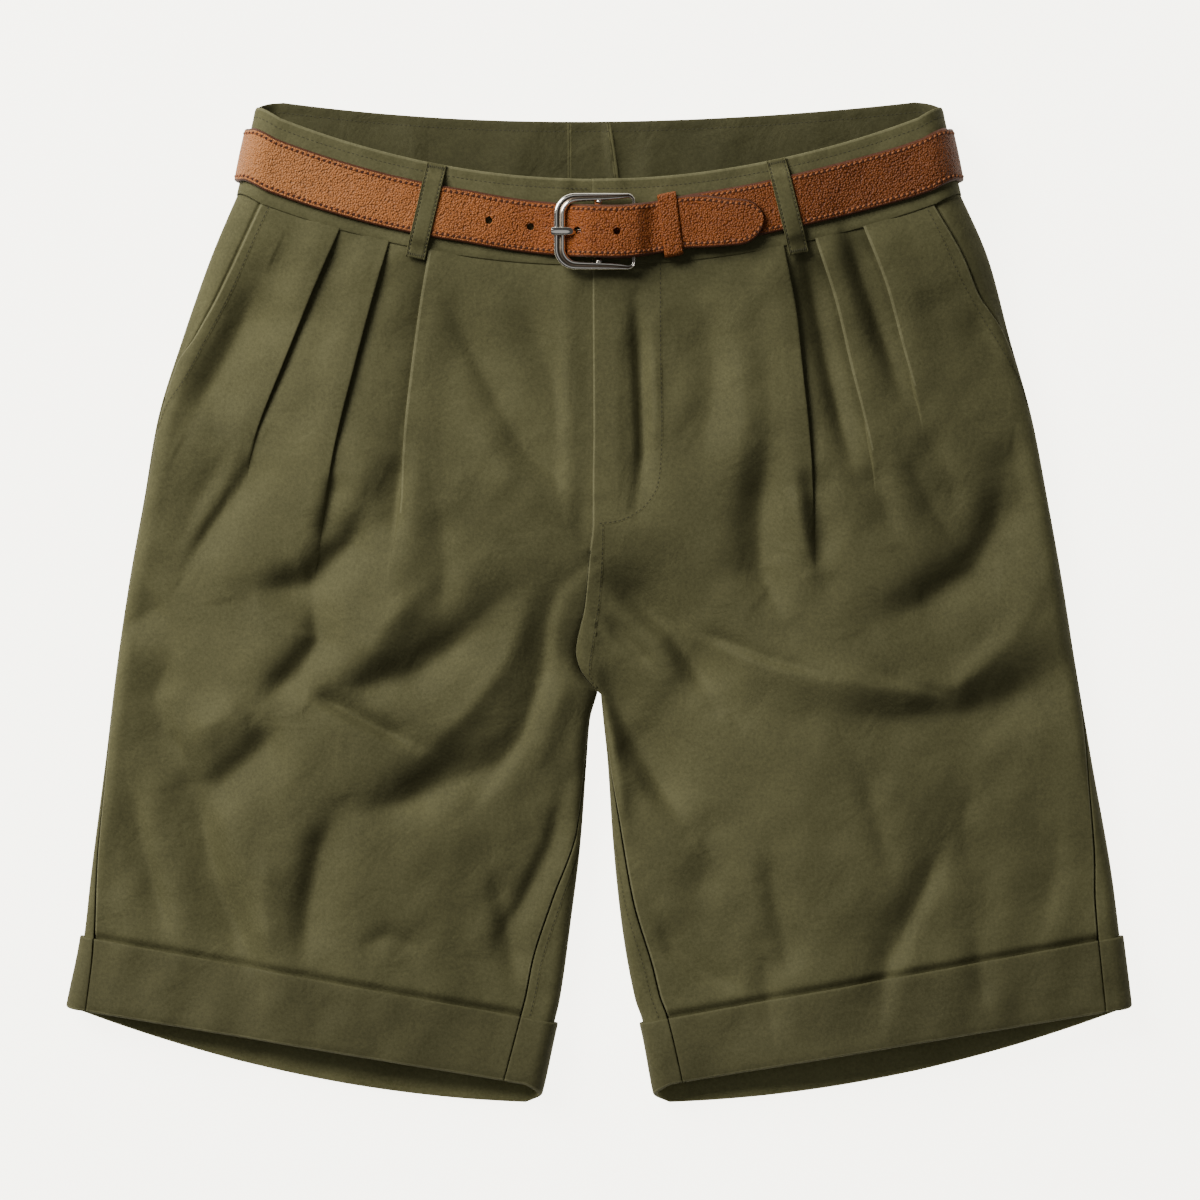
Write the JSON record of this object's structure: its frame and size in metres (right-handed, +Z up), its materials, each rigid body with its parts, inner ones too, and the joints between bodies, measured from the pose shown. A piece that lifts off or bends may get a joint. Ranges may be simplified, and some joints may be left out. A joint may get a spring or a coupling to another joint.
{
  "type": "pleated chino shorts with a leather belt",
  "caption": "Olive pleated chino shorts with turned-up cuffs and a tan leather belt in their loops, laid flat on their back.",
  "frame": {"origin": "centre of the garment's outline on the surface it lies on", "axes": "+Z up off the surface, +Y towards the waist, +X towards the wearer's left"},
  "size_m": [0.6625, 0.6208, 0.0547],
  "materials": {
    "olive_twill": "olive cotton twill, matt with a faint sheen, stitched tone on tone",
    "zip_tape": "woven zip tape, matt",
    "tan_leather": "pebbled tan leather, satin, with dark brown stitching along both edges",
    "polished_steel": "polished nickel"
  },
  "bodies": {
    "root": {"front_panel_right": "olive_twill", "front_panel_left": "olive_twill", "back_panel_right": "olive_twill", "back_panel_left": "olive_twill", "pocket_facing_right": "olive_twill", "pocket_facing_left": "olive_twill", "fly_zip": "zip_tape", "waistband_right": "olive_twill", "waistband_left": "olive_twill", "belt_loop_front_right": "olive_twill", "belt_loop_front_left": "olive_twill", "belt_loop_back_right": "olive_twill", "belt_loop_centre_back": "olive_twill", "belt_loop_back_left": "olive_twill", "cuff_front_right": "olive_twill", "cuff_front_left": "olive_twill", "cuff_back_right": "olive_twill", "cuff_back_left": "olive_twill", "belt_strap": "tan_leather", "belt_keeper": "tan_leather", "belt_bar_fold": "tan_leather", "buckle_frame": "polished_steel", "buckle_bar": "polished_steel", "buckle_prong": "polished_steel"}
  },
  "joints": []
}
